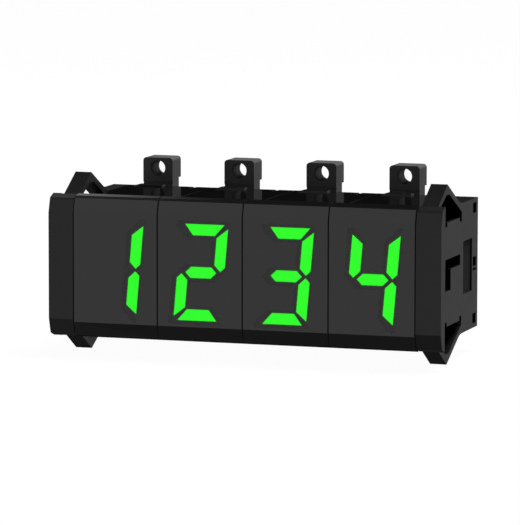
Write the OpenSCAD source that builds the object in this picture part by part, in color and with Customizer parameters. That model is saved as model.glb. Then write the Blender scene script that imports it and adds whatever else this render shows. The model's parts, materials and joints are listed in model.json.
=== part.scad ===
// Panel display: a row of seven segment digit modules between two snap-in end plates.
//
// Millimetres. X runs along the row, Y from the panel backwards and Z up. The panel's front
// face is the plane Y = 0 and the centre of its cut-out is the origin. Each module is drawn
// about its own centre line and moved along X to its place.

/* [Display] */
// digits that are lit, from left to right
shown_digits = [1, 2, 3, 4]; // [0:1:9]
// height of a digit
digit_h = 24.4; // [20:0.2:24.6]
// width of a digit before it is slanted
digit_w = 12.4; // [11:0.2:12.8]
// stroke of a segment
segment_t = 2.75; // [2:0.05:3.2]
// slant of the digits, in degrees
digit_slant = 5; // [0:1:7]

/* [Modules] */
// distance between the centres of two neighbouring modules
unit_pitch = 22.5; // [22:0.25:27]
// height of the housings, which the panel cut-out fits
housing_h = 33.2; // [32:0.2:40]
// depth of the housings behind the panel's front face
housing_depth = 39.2; // [38:0.2:50]
// wall of the housings
housing_wall = 1.5; // [1.2:0.1:1.7]
// gap between the bezels of two neighbouring modules
seam_gap = 0.2; // [0.1:0.05:0.3]

/* [Bezel] */
// how far the bezel stands in front of the panel
bezel_depth = 3.65; // [3.4:0.05:5]
// how far the bezel overlaps the panel above and below the cut-out
bezel_overlap = 1.7; // [1.4:0.1:3]
// height of the slanted band along the long edges of a face cap
facet_h = 4.15; // [3.5:0.05:5]
// how far that band slants back
facet_in = 1; // [0.6:0.1:1.4]
// radius between the band and the bezel's rim
rim_r = 0.85; // [0.6:0.05:1.2]
// thickness of the smoked window
window_t = 1.2; // [0.8:0.1:1.6]

/* [End plates] */
// width of an end plate's bezel
end_bezel_w = 6.56; // [6:0.02:9]
// thickness of an end plate behind the panel
plate_t = 4.3; // [3.6:0.1:5]
// wall of an end plate
plate_wall = 1; // [0.8:0.1:1.4]
// height of a snap's ridge above the housings
snap_rise = 6.1; // [4.5:0.1:8]
// distance of a snap's ridge behind the panel's front face
snap_ridge_y = 10.15; // [9:0.05:13]
// distance of a snap's rear root behind the panel's front face
snap_root_y = 23.7; // [22:0.1:24.5]
// thickness of a snap's legs
snap_leg_t = 1.4; // [1.1:0.05:1.7]

/* [Rear] */
// width of a screw tab
tab_w = 8.15; // [6:0.05:10]
// how far a screw tab rises above the housings
tab_rise = 6.35; // [5:0.05:10]
// distance of a screw tab's front face behind the housings' rear edge
tab_setback = 9.5; // [7:0.1:14]
// length of a screw tab along its hole
tab_length = 6.83; // [5:0.01:9]
// diameter of the hole in a screw tab
tab_hole_d = 4; // [2.5:0.1:4.5]

/* [Fits] */
// clearance between pieces that press or slide into each other
fit_gap = 0.1; // [0.05:0.05:0.2]
// clearance of a lens in its light well
lens_gap = 0.05; // [0.02:0.01:0.1]

/* [Hidden] */

// overlap that joins two solids of one moulding
weld = 0.5;
unit_count = len(shown_digits);
row_half = unit_count * unit_pitch / 2;

// housing tube
hx = (unit_pitch - seam_gap / 2) / 2;
hz = housing_h / 2;
bore_x = hx - housing_wall;
bore_z = hz - housing_wall;

// face cap and the skirt that presses into the housing
cap_x = (unit_pitch - seam_gap) / 2;
bezel_z = hz + bezel_overlap;
rim_drop = 0.3;
skirt_wall = 1;
skirt_x = bore_x - fit_gap;
skirt_z = bore_z - fit_gap;
optic_x = skirt_x - skirt_wall;
optic_z = skirt_z - skirt_wall;
window_back = window_t - bezel_depth;

// reflector block, lenses and the board behind them
reflector_front = window_back + fit_gap;
reflector_depth = 8;
reflector_x = optic_x - fit_gap;
reflector_z = optic_z - fit_gap;
lens_depth = 2.5;
board_t = 1.6;
board_front = reflector_front + reflector_depth;
board_back = board_front + board_t;
ledge_t = 1.2;
ledge_in = 1.6;

// digit outline: mitres at the corners, points at the waist
digit_x = -0.12;
digit_z = -0.43;
stroke_x = digit_w / 2;
stroke_z = digit_h / 2;
corner_out = 1.05;
corner_in = 0.6;
tip_in = 1.1;
tip_half_gap = 0.4;
middle_gap = 1.05;
point_r = 1.1;
point_x = digit_w / 2 + 1.75;
point_z = point_r - stroke_z;
led_size = [1.6, 0.9, 0.8];

// which of the segments a to g each digit lights
digit_segments = [
  [1, 1, 1, 1, 1, 1, 0],
  [0, 1, 1, 0, 0, 0, 0],
  [1, 1, 0, 1, 1, 0, 1],
  [1, 1, 1, 1, 0, 0, 1],
  [0, 1, 1, 0, 0, 1, 1],
  [1, 0, 1, 1, 0, 1, 1],
  [1, 0, 1, 1, 1, 1, 1],
  [1, 1, 1, 0, 0, 0, 0],
  [1, 1, 1, 1, 1, 1, 1],
  [1, 1, 1, 1, 0, 1, 1]
];

// control board, which stands upright in the housing's guide rails
control_x = -5.7;
control_face = control_x + board_t;
control_front = board_back + ledge_t + 0.25;
spigot_length = 2.4;
control_wide_end = housing_depth - spigot_length - 0.3;
control_z = bore_z - 2 * fit_gap;
rail_h = 1.2;
rail_t = 0.9;

// pins on the 2.54 mm grid, header, chip, resistors and socket
grid = 2.54;
pin_t = 0.64;
header_pins = 9;
header_y = control_front + 0.3;
chip_size = [3.3, 6.35, 19.3];
chip_y = header_y + 11;
chip_lift = 0.5;
chip_leads = 8;
lead_t = 0.3;
lead_w = 0.6;
lead_spread = 0.65;
network_size = [5, 2.5, 22.6];
network_y = chip_y + 8.5;
socket_rows = 8;
socket_w = 7.8;
socket_depth = 7;
socket_z = socket_rows * grid / 2 + 0.9;
socket_hole = 0.9;
socket_hole_depth = 5;

// latch land and release groove on the rear edge of a housing's roof
latch_inset = 1.75;
latch_w = 8.05;
latch_depth = 2.85;
latch_ramp = 1.4;
latch_h = 0.4;
release_inset = 4.75;
release_w = 0.8;
release_depth = 4;
release_groove = 0.15;

// rear cover: flange, spigot, connector box and screw tab
flange_t = 2;
cover_gap = 0.4;
cover_x = hx - 0.25;
cover_z = hz - cover_gap;
box_wall = 1.4;
box_x = unit_pitch / 2 - 0.46;
box_z = hz - 2.6;
tab_y = housing_depth + tab_setback;
tab_top = hz + tab_rise;
box_end = tab_y + 5.2;
tab_step_z = tab_top - 5.55;
tab_r = 0.9;
tab_hole_z = tab_top - 2.75;
tab_groove_z = tab_step_z - 1.1;
tab_groove = 0.3;

// L-shaped coupling slot and the lug that drops to its foot
slot_y = 8.35;
slot_long = 14;
slot_arm = 5.1;
slot_h = 2.7;
slot_top = 3.8;
slot_foot = -4.2;
lug_out = 1.3;
pocket_floor = 1;

// end plate
plate_bezel_x = row_half + seam_gap / 2;
plate_x = row_half + seam_gap / 4;
plate_face = plate_x + plate_t;
plate_edge = plate_bezel_x + end_bezel_w;
shelf_t = 1.2;
notch_y = 2.1;
notch_z = [-3.9, 2.1];
notch_depth = 1.5;
root_relief = 0.2;
window_sill = hz - 3.5;
relief_w = 1.85;
relief_h = 1.1;
label_y = [25.25, 33.65];
label_z = [-6.8, 6.7];
label_depth = 0.5;
vent_y = [housing_depth - 4.75, housing_depth - 1.65];
vent_h = 2.6;
release_z = [[-1.85, -1.2], [-0.75, 1.65]];

black = [0.07, 0.07, 0.075];
smoke = [0.1, 0.1, 0.11];
tab_black = [0.09, 0.09, 0.095];
white = [0.85, 0.85, 0.82];
lit_green = [0.16, 1, 0.1];
dull_green = [0.2, 0.3, 0.2];
board_green = [0.05, 0.3, 0.14];
pin_gold = [0.85, 0.68, 0.3];
chip_black = [0.12, 0.12, 0.13];
network_blue = [0.15, 0.25, 0.5];
led_yellow = [0.9, 0.85, 0.5];

unit_nodes = [
  "face_cap", "lit_segments", "unlit_segments", "digit_reflector", "leds", "display_board",
  "pin_header", "control_board", "driver_chip", "resistor_network", "rear_socket", "housing",
  "rear_cover"
];

// ---- outlines ----------------------------------------------------------------------------

// points of an arc about a centre, from one angle to another
function arc(centre, r, from, to, steps = 6) =
  [for (k = [0:steps])
    let (a = from + (to - from) * k / steps)
    centre + r * [cos(a), sin(a)]];

// an outline's upper half, closed with its mirror image below
function both_halves(upper) =
  concat(upper, [for (k = [len(upper) - 1:-1:0]) [upper[k].x, -upper[k].y]]);

// a face cap seen along X: window, slanted band, rounded rim
function cap_outline() =
  both_halves(concat(
    [[-bezel_depth, bezel_z - facet_h]],
    arc([facet_in + rim_r - bezel_depth, bezel_z - rim_drop - rim_r], rim_r, 162, 98, 4),
    [[0, bezel_z]]
  ));

// an end plate's bezel seen along X: its edge falls away more softly
function end_bezel_outline() =
  both_halves([
    [-bezel_depth, bezel_z - 4.8],
    [1.03 - bezel_depth, bezel_z - 1.5],
    [1.25 - bezel_depth, bezel_z - 1],
    [0, bezel_z - 0.1]
  ]);

// a snap seen along X: front leg from the bezel up to the ridge, rear leg down to its root
function snap_outline() =
  let (
    ridge = [snap_ridge_y, hz + snap_rise],
    front_low = [2.24, hz + 1.6],
    rear_low = [snap_root_y - 2.25, hz + 0.5],
    root_top = [snap_root_y + 0.65, hz],
    root_foot = [snap_root_y, hz - 2.2],
    soffit = hz + snap_rise - 1.93 * snap_leg_t
  )
  [
    [-weld, hz + 0.4], [0, hz + 0.4], front_low, ridge,
    rear_low, [snap_root_y - 0.8, hz + 0.12], root_top,
    root_top - [0, 2.2], root_foot,
    [ridge.x + 1.2 * snap_leg_t, soffit], [ridge.x - 0.8 * snap_leg_t, soffit],
    [front_low.x + 1.39 * snap_leg_t, front_low.y - 0.36 * snap_leg_t],
    [0, hz - 0.9], [-weld, hz - 0.9]
  ];

// the window under a snap, with a relief slot at each lower corner
function snap_window_outline() =
  let (
    front = snap_root_y - 15.5,
    back = snap_root_y,
    foot = window_sill - relief_h,
    above = hz + 1
  )
  [
    [plate_wall, above], [plate_wall, hz - 2], [front, hz - 2], [front, foot],
    [front + relief_w, foot], [front + relief_w, window_sill],
    [back - relief_w, window_sill], [back - relief_w, foot],
    [back, foot], [back, above]
  ];

// the coupling slot seen along X
function coupling_outline() =
  [
    [slot_y, slot_foot], [slot_y + slot_arm, slot_foot], [slot_y + slot_arm, slot_top - slot_h],
    [slot_y + slot_long, slot_top - slot_h], [slot_y + slot_long, slot_top], [slot_y, slot_top]
  ];

// the upper right stroke of a digit before it is slanted
function side_stroke(grow) =
  [
    [stroke_x + grow, stroke_z - corner_out + grow],
    [stroke_x - segment_t - grow, stroke_z - segment_t - corner_in + grow],
    [stroke_x - segment_t - grow, tip_half_gap + segment_t - tip_in - grow],
    [stroke_x - tip_in, tip_half_gap - 1.4 * grow],
    [stroke_x + grow, tip_half_gap + tip_in - grow]
  ];

// the top stroke of a digit
function top_stroke(grow) =
  let (
    outer = stroke_x - corner_out + grow,
    inner = stroke_x - segment_t - corner_in + grow
  )
  [
    [-outer, stroke_z + grow], [outer, stroke_z + grow],
    [inner, stroke_z - segment_t - grow], [-inner, stroke_z - segment_t - grow]
  ];

// the middle stroke of a digit, pointed at both ends
function middle_stroke(grow) =
  let (
    tip = stroke_x - tip_in + tip_half_gap - middle_gap * sqrt(2) + 1.4 * grow,
    half = segment_t / 2 + grow
  )
  [[-tip, 0], [half - tip, half], [tip - half, half], [tip, 0], [tip - half, -half],
    [half - tip, -half]];

// turns points over and slants them into the digit's place
function placed(points, side = 1, up = 1) =
  [for (p = points)
    [p.x * side + p.y * up * tan(digit_slant) + digit_x, p.y * up + digit_z]];

// segment a to g as index 0 to 6
function segment_outline(index, grow = 0) =
  index == 0 ? placed(top_stroke(grow)) :
  index == 1 ? placed(side_stroke(grow)) :
  index == 2 ? placed(side_stroke(grow), up = -1) :
  index == 3 ? placed(top_stroke(grow), up = -1) :
  index == 4 ? placed(side_stroke(grow), side = -1, up = -1) :
  index == 5 ? placed(side_stroke(grow), side = -1) :
  placed(middle_stroke(grow));

// middle of each segment and of the decimal point, where the LEDs sit
function led_places() =
  placed([
    [0, stroke_z - segment_t / 2],
    [stroke_x - segment_t / 2, stroke_z / 2],
    [stroke_x - segment_t / 2, -stroke_z / 2],
    [0, segment_t / 2 - stroke_z],
    [segment_t / 2 - stroke_x, -stroke_z / 2],
    [segment_t / 2 - stroke_x, stroke_z / 2],
    [0, 0],
    [point_x, point_z]
  ]);

// ---- helpers -----------------------------------------------------------------------------

// box between its lowest and its highest corner
module block(low, high) {
  translate(low)
    cube(high - low);
}

// box that is the same on both sides of the module's centre lines
module ring_block(half_x, half_z, y0, y1) {
  block([-half_x, y0, -half_z], [half_x, y1, half_z]);
}

// an outline in Y and Z, drawn out along X
module along_x(x0, x1) {
  translate([x0, 0, 0])
    rotate([90, 0, 90])
      linear_extrude(x1 - x0)
        children();
}

// an outline in X and Z, drawn out along Y
module along_y(y0, y1) {
  translate([0, y1, 0])
    rotate([90, 0, 0])
      linear_extrude(y1 - y0)
        children();
}

// the decimal point's round outline
module point_outline(grow = 0) {
  translate(placed([[point_x, point_z]])[0])
    circle(r = point_r + grow, $fn = 40);
}

// moves a module's piece to its place in the row
module at_unit(unit) {
  translate([(unit - 0.5) * unit_pitch - row_half, 0, 0])
    children();
}

// ---- pieces of one module ----------------------------------------------------------------

// smoked cap: window, bezel rim and the skirt that presses into the housing
module face_cap() {
  skirt_end = board_front - fit_gap;
  color(smoke)
    difference() {
      union() {
        along_x(-cap_x, cap_x)
          polygon(cap_outline());
        ring_block(skirt_x, skirt_z, -weld, skirt_end);
      }
      ring_block(optic_x, optic_z, window_back, skirt_end + weld);
    }
}

// lenses of the segments that this digit lights
module lit_segments(digit) {
  color(lit_green)
    for (index = [0:6])
      if (digit_segments[digit][index] == 1)
        along_y(reflector_front, reflector_front + lens_depth)
          polygon(segment_outline(index));
}

// lenses of the other segments and of the decimal point
module unlit_segments(digit) {
  color(dull_green)
    along_y(reflector_front, reflector_front + lens_depth) {
      for (index = [0:6])
        if (digit_segments[digit][index] == 0)
          polygon(segment_outline(index));
      point_outline();
    }
}

// block with a light well behind every lens
module digit_reflector() {
  color(white)
    difference() {
      ring_block(reflector_x, reflector_z, reflector_front, board_front);
      along_y(reflector_front - weld, board_front + weld) {
        for (index = [0:6])
          polygon(segment_outline(index, lens_gap));
        point_outline(lens_gap);
      }
    }
}

// one chip LED at the bottom of every light well
module leds() {
  color(led_yellow)
    for (place = led_places())
      translate([place.x - led_size.x / 2, board_front - led_size.y, place.y - led_size.z / 2])
        cube(led_size);
}

// board that carries the LEDs and closes the wells
module display_board() {
  color(board_green)
    ring_block(skirt_x, skirt_z, board_front, board_back);
}

// right-angle header that joins the display board to the control board
module pin_header() {
  half = header_pins * grid / 2;
  color(pin_gold)
    union() {
      block([control_face, header_y, -half], [control_face + grid, header_y + grid, half]);
      for (pin = [0:header_pins - 1])
        translate([
          control_face + (grid - pin_t) / 2,
          board_back,
          (pin + 0.5) * grid - half - pin_t / 2
        ])
          cube([pin_t, header_y + weld - board_back, pin_t]);
    }
}

// upright board with a narrower tail that reaches into the rear cover
module control_board() {
  tail_z = box_z - box_wall - 4 * fit_gap;
  tail_end = box_end - box_wall - 1;
  color(board_green)
    along_x(control_x, control_face)
      polygon(both_halves([
        [control_front, control_z], [control_wide_end, control_z],
        [control_wide_end, tail_z], [tail_end, tail_z]
      ]));
}

// a lead that leaves the chip's side and turns down to the board
module chip_lead(side) {
  reach = chip_size.y / 2 + lead_spread;
  mid = chip_lift + chip_size.x / 2;
  mirror([0, side < 0 ? 1 : 0, 0]) {
    block(
      [mid - lead_t / 2, chip_size.y / 2 - weld, -lead_w / 2],
      [mid + lead_t / 2, reach, lead_w / 2]
    );
    block([0, reach - lead_t, -lead_w / 2], [mid + lead_t / 2, reach, lead_w / 2]);
  }
}

// decoder and driver chip with its two rows of leads
module driver_chip() {
  color(chip_black)
    translate([control_face, chip_y, 0])
      union() {
        block(
          [chip_lift, -chip_size.y / 2, -chip_size.z / 2],
          [chip_lift + chip_size.x, chip_size.y / 2, chip_size.z / 2]
        );
        for (side = [-1, 1], lead = [0:chip_leads - 1])
          translate([0, 0, (lead - (chip_leads - 1) / 2) * grid])
            chip_lead(side);
      }
}

// flat resistor network that stands on its row of pins
module resistor_network() {
  half = network_size / 2;
  color(network_blue)
    translate([control_face, network_y, 0])
      union() {
        block([chip_lift, -half.y, -half.z], [chip_lift + network_size.x, half.y, half.z]);
        for (pin = [0:header_pins - 1])
          translate([0, -lead_t / 2, (pin + 0.5 - header_pins / 2) * grid - lead_w / 2])
            cube([chip_lift + weld, lead_t, lead_w]);
      }
}

// two-row pin socket, level with the back of the rear cover
module rear_socket() {
  color(chip_black)
    difference() {
      block(
        [control_face, box_end - socket_depth, -socket_z],
        [control_face + socket_w, box_end, socket_z]
      );
      for (row = [-0.5, 0.5], column = [0:socket_rows - 1])
        translate([
          control_face + socket_w / 2 + row * grid - socket_hole / 2,
          box_end - socket_hole_depth,
          (column + 0.5 - socket_rows / 2) * grid - socket_hole / 2
        ])
          cube([socket_hole, socket_hole_depth + weld, socket_hole]);
    }
}

// rails that hold the control board's upper or lower edge
module guide_rails() {
  for (x = [control_x - fit_gap - rail_t, control_face + fit_gap])
    block(
      [x, board_back + ledge_t - weld, bore_z - rail_h],
      [x + rail_t, control_wide_end, bore_z + weld]
    );
}

// low step with a ramp on the rear edge of the housing's roof, where the cover locks
module latch_land() {
  left = latch_inset - hx;
  right = left + latch_w;
  along_y(housing_depth - latch_depth, housing_depth)
    polygon([
      [left, hz - weld], [left, hz], [left + latch_ramp, hz + latch_h], [right, hz + latch_h],
      [right, hz - weld]
    ]);
}

// lug that slides into the coupling slot next to it and drops to the slot's foot
module coupling_lug(x0, x1) {
  block(
    [x0, slot_y + fit_gap, slot_foot + fit_gap],
    [x1, slot_y + slot_arm - fit_gap, slot_foot + slot_h - fit_gap]
  );
}

// open tube with board ledge, guide rails, coupling lug on one side and blind slot on the other
module housing() {
  color(black)
    difference() {
      union() {
        difference() {
          ring_block(hx, hz, 0, housing_depth);
          ring_block(bore_x, bore_z, -weld, housing_depth + weld);
        }
        difference() {
          ring_block(bore_x + weld, bore_z + weld, board_back, board_back + ledge_t);
          ring_block(
            bore_x - ledge_in, bore_z - ledge_in, board_back - weld, board_back + ledge_t + weld
          );
        }
        guide_rails();
        mirror([0, 0, 1])
          guide_rails();
        latch_land();
        coupling_lug(-hx - lug_out, weld - hx);
        block(
          [bore_x - pocket_floor, board_back, slot_foot - pocket_floor],
          [bore_x + weld, slot_y + slot_long + pocket_floor, slot_top + pocket_floor]
        );
      }
      along_x(bore_x, hx + weld)
        polygon(coupling_outline());
      block(
        [hx - release_inset, housing_depth - release_depth, hz - release_groove],
        [hx - release_inset + release_w, housing_depth + weld, hz + weld]
      );
    }
}

// screw tab: a rounded head with a stem down to the connector box
module screw_tab() {
  tab_x = -box_x;
  along_y(tab_y, tab_y + tab_length)
    polygon(concat(
      [[tab_x, tab_step_z]],
      arc([tab_x + tab_r, tab_top - tab_r], tab_r, 180, 90),
      arc([tab_x + tab_w - tab_r, tab_top - tab_r], tab_r, 90, 0),
      [[tab_x + tab_w, tab_step_z]]
    ));
  block([tab_x, tab_y, box_z - weld], [tab_x + tab_w, box_end, tab_step_z + weld]);
}

// rear cover: flange on the housing's rim, connector box and screw tab in one moulding
module rear_cover() {
  front = housing_depth - spigot_length;
  color(tab_black)
    difference() {
      union() {
        ring_block(cover_x, cover_z, housing_depth, housing_depth + flange_t);
        ring_block(skirt_x, skirt_z, front, housing_depth + weld);
        ring_block(box_x, box_z, housing_depth, box_end);
        screw_tab();
      }
      ring_block(optic_x, optic_z, front - weld, housing_depth);
      ring_block(box_x - box_wall, box_z - box_wall, housing_depth - weld, box_end - box_wall);
      block(
        [control_face - 2 * fit_gap, box_end - box_wall - weld, -socket_z - 2 * fit_gap],
        [control_face + socket_w + 2 * fit_gap, box_end + weld, socket_z + 2 * fit_gap]
      );
      block(
        [-box_x - weld, tab_y - weld, tab_groove_z - tab_groove],
        [tab_w - box_x + weld, tab_y + tab_groove, tab_groove_z + tab_groove]
      );
      translate([tab_w / 2 - box_x, tab_y - weld, tab_hole_z])
        rotate([-90, 0, 0])
          cylinder(d = tab_hole_d, h = tab_length + 2 * weld, $fn = 64);
    }
}

// ---- end plates --------------------------------------------------------------------------

// cavity of an end plate, open towards the modules and carried on into the bezel
module plate_cavity() {
  block(
    [plate_x - weld, plate_wall - bezel_depth, plate_wall - hz],
    [plate_face - plate_wall, housing_depth - plate_wall, hz - plate_wall]
  );
  block(
    [plate_x - weld, plate_wall + 0.2 - bezel_depth, plate_wall - hz],
    [plate_edge - plate_wall, -plate_wall, hz - plate_wall]
  );
}

// the outer wall's small openings: coupling slot, label recess and release slots
module plate_openings() {
  along_x(plate_x - weld, plate_face + weld)
    polygon(coupling_outline());
  block(
    [plate_face - label_depth, label_y[0], label_z[0]],
    [plate_face + weld, label_y[1], label_z[1]]
  );
  for (z = [hz - plate_wall - vent_h - 0.1, -hz + plate_wall + 0.1])
    block([plate_face - plate_wall - weld, vent_y[0], z], [plate_face + weld, vent_y[1], z + vent_h]);
  for (z = release_z)
    block([plate_face - plate_wall - weld, vent_y[0], z[0]], [plate_face + weld, vent_y[1], z[1]]);
}

// shelf across the cavity, below the coupling slot's foot, that carries the lug or the catch
module coupling_shelf() {
  block(
    [plate_x, slot_y - shelf_t, slot_foot - shelf_t],
    [plate_face - plate_wall + weld, slot_y + slot_arm + shelf_t, slot_foot]
  );
}

// right plate's lug, on an upright at the shelf's inner end
module plate_lug() {
  coupling_shelf();
  block(
    [plate_x, slot_y - shelf_t, slot_foot - shelf_t],
    [plate_x + shelf_t, slot_y + slot_arm + shelf_t, slot_foot + slot_h]
  );
  coupling_lug(row_half - lug_out, plate_x + weld);
}

// left plate's catch: a slotted wall at the shelf's inner end that takes the first module's lug
module plate_catch() {
  coupling_shelf();
  difference() {
    block(
      [plate_x, slot_y - shelf_t, slot_foot - shelf_t],
      [plate_x + housing_wall, slot_y + slot_long + shelf_t, slot_top + shelf_t]
    );
    along_x(plate_x - weld, plate_x + housing_wall + weld)
      polygon(coupling_outline());
  }
}

// shallow step round a snap's root, so that the panel lies flat on the bezel beside it
module snap_root_relief() {
  block([plate_x - weld, -root_relief, hz + 0.4], [plate_face, 0, bezel_z + weld]);
}

// bezel, walls and snaps of an end plate, as the right one stands
module plate_moulding() {
  difference() {
    union() {
      difference() {
        union() {
          along_x(plate_bezel_x, plate_edge)
            polygon(end_bezel_outline());
          block([plate_x, -weld, -hz], [plate_face, housing_depth, hz]);
        }
        plate_cavity();
        for (half = [0, 1])
          mirror([0, 0, half])
            along_x(plate_x - weld, plate_face + weld)
              polygon(snap_window_outline());
      }
      for (half = [0, 1])
        mirror([0, 0, half])
          along_x(plate_x, plate_face)
            polygon(snap_outline());
    }
    plate_openings();
    block(
      [plate_edge - notch_depth, notch_y - bezel_depth, notch_z[0]],
      [plate_edge + weld, weld, notch_z[1]]
    );
    for (half = [0, 1])
      mirror([0, 0, half])
        snap_root_relief();
  }
}

module right_end_plate() {
  color(black)
    union() {
      plate_moulding();
      plate_lug();
    }
}

module left_end_plate() {
  color(black)
    mirror([1, 0, 0])
      union() {
        plate_moulding();
        plate_catch();
      }
}

// ---- the assembly ------------------------------------------------------------------------

left_end_plate();
right_end_plate();

for (unit = [1:unit_count]) {
  digit = shown_digits[unit - 1];
  at_unit(unit) face_cap();
  at_unit(unit) lit_segments(digit);
  at_unit(unit) unlit_segments(digit);
  at_unit(unit) digit_reflector();
  at_unit(unit) leds();
  at_unit(unit) display_board();
  at_unit(unit) pin_header();
  at_unit(unit) control_board();
  at_unit(unit) driver_chip();
  at_unit(unit) resistor_network();
  at_unit(unit) rear_socket();
  at_unit(unit) housing();
  at_unit(unit) rear_cover();
}
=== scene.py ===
"""Looks of the panel display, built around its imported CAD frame.

The frame holds every moulding, lens, board and lead at its real size. This script rounds the
edges of the mouldings, dresses each node in a procedural finish, adds the spring contacts of
the rear sockets and the solder joints of the control boards, and stands the display in a
plain studio.
"""

import json
import logging
import math
from dataclasses import astuple, dataclass, field
from enum import Enum
from itertools import chain

import bpy
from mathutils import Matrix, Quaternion, Vector


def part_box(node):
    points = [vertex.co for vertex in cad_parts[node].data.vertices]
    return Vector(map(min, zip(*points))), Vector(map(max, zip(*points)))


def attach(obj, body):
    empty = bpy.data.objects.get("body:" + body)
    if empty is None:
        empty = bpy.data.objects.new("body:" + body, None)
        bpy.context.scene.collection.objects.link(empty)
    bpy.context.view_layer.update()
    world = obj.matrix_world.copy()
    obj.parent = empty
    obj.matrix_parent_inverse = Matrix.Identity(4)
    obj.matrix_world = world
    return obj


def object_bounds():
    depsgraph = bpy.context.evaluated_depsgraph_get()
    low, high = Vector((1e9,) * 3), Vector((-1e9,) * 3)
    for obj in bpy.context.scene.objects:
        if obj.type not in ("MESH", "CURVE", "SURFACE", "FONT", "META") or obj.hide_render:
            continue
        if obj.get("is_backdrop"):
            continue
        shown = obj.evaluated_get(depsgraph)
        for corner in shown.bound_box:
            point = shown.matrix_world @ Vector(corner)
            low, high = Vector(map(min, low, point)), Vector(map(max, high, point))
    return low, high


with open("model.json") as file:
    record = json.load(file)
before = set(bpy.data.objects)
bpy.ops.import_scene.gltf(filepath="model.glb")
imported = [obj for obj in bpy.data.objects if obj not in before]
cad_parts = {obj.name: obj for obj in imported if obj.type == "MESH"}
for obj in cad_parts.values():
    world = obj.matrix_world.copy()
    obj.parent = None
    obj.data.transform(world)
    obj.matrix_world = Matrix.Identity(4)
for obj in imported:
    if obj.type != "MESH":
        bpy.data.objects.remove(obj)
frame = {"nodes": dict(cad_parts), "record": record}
log = logging.getLogger("panel_display")

MM = 0.001
GRID = 2.54 * MM  # pitch of all pins and holes
FIT_GAP = 0.1 * MM  # play between neighbouring parts
SHEET = 0.05 * MM  # how far from a plane a face still counts as lying on it
QUARTER_TURN = math.radians(90)
Socket = bpy.types.NodeSocket


# ---- places --------------------------------------------------------------------------------


class Axis(Enum):
    """An axis of the row frame: X along the row, Y into the panel, Z up."""

    X = 0
    Y = 1
    Z = 2


@dataclass(frozen=True)
class Span:
    """A stretch from a low to a high value, in metres where it lies along an axis."""

    low: float
    high: float

    @classmethod
    def of(cls, node: str, axis: Axis) -> "Span":
        """Returns the stretch that a CAD node covers on an axis."""
        low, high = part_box(node)
        return cls(low[axis.value], high[axis.value])

    @classmethod
    def about(cls, middle: float, half: float) -> "Span":
        """Returns the stretch that reaches half to both sides of a middle."""
        return cls(middle - half, middle + half)

    @property
    def middle(self) -> float:
        """The middle of the stretch."""
        return (self.low + self.high) / 2

    @property
    def half(self) -> float:
        """Half the length of the stretch."""
        return (self.high - self.low) / 2

    def within(self, rim: float) -> "Span":
        """Returns the stretch without a rim at each end."""
        return Span(self.low + rim, self.high - rim)

    def moved(self, by: float) -> "Span":
        """Returns the stretch moved along its axis."""
        return Span(self.low + by, self.high + by)


# ---- node trees ----------------------------------------------------------------------------


def linear(hex_colour: str) -> tuple[float, float, float, float]:
    """Turns an sRGB colour linear.

    Args:
        hex_colour: The colour as "#rrggbb".

    Returns:
        Its linear red, green and blue, and a full alpha.
    """
    channels = [int(hex_colour[k : k + 2], 16) / 255 for k in (1, 3, 5)]
    bent = [c / 12.92 if c <= 0.04045 else ((c + 0.055) / 1.055) ** 2.4 for c in channels]
    return (*bent, 1.0)


class Kind(Enum):
    """A kind of node: its type name, and the setting that it needs, if any."""

    ADD = ("ShaderNodeMath", "operation", "ADD")
    SUBTRACT = ("ShaderNodeMath", "operation", "SUBTRACT")
    MULTIPLY = ("ShaderNodeMath", "operation", "MULTIPLY")
    DIVIDE = ("ShaderNodeMath", "operation", "DIVIDE")
    MAXIMUM = ("ShaderNodeMath", "operation", "MAXIMUM")
    ABSOLUTE = ("ShaderNodeMath", "operation", "ABSOLUTE")
    FRACTION = ("ShaderNodeMath", "operation", "FRACT")
    LESS = ("ShaderNodeMath", "operation", "LESS_THAN")
    GREATER = ("ShaderNodeMath", "operation", "GREATER_THAN")
    MIX = ("ShaderNodeMix",)
    BLEND = ("ShaderNodeMix", "data_type", "RGBA")
    STEP = ("ShaderNodeMapRange", "interpolation_type", "SMOOTHSTEP")
    SPLIT = ("ShaderNodeSeparateXYZ",)
    JOIN = ("ShaderNodeCombineXYZ",)
    COORDINATES = ("ShaderNodeTexCoord",)
    NOISE = ("ShaderNodeTexNoise",)
    BUMP = ("ShaderNodeBump",)
    PRINCIPLED = ("ShaderNodeBsdfPrincipled",)
    SURFACE = ("ShaderNodeOutputMaterial",)
    LIGHT_PATH = ("ShaderNodeLightPath",)
    BACKGROUND = ("ShaderNodeBackground",)
    WORLD = ("ShaderNodeOutputWorld",)
    GIVEN = ("NodeGroupInput",)
    RESULT = ("NodeGroupOutput",)
    LINE = ("GeometryNodeMeshLine",)
    LATTICE = ("GeometryNodeMeshGrid",)
    CONE = ("GeometryNodeMeshCone",)
    POSITION = ("GeometryNodeInputPosition",)
    REPLACE = ("GeometryNodeSetPosition",)
    SMOOTH = ("GeometryNodeSetShadeSmooth",)
    TURN = ("GeometryNodeTransform",)
    REPEAT = ("GeometryNodeInstanceOnPoints",)
    REALIZE = ("GeometryNodeRealizeInstances",)
    DRESS = ("GeometryNodeSetMaterial",)


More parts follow.
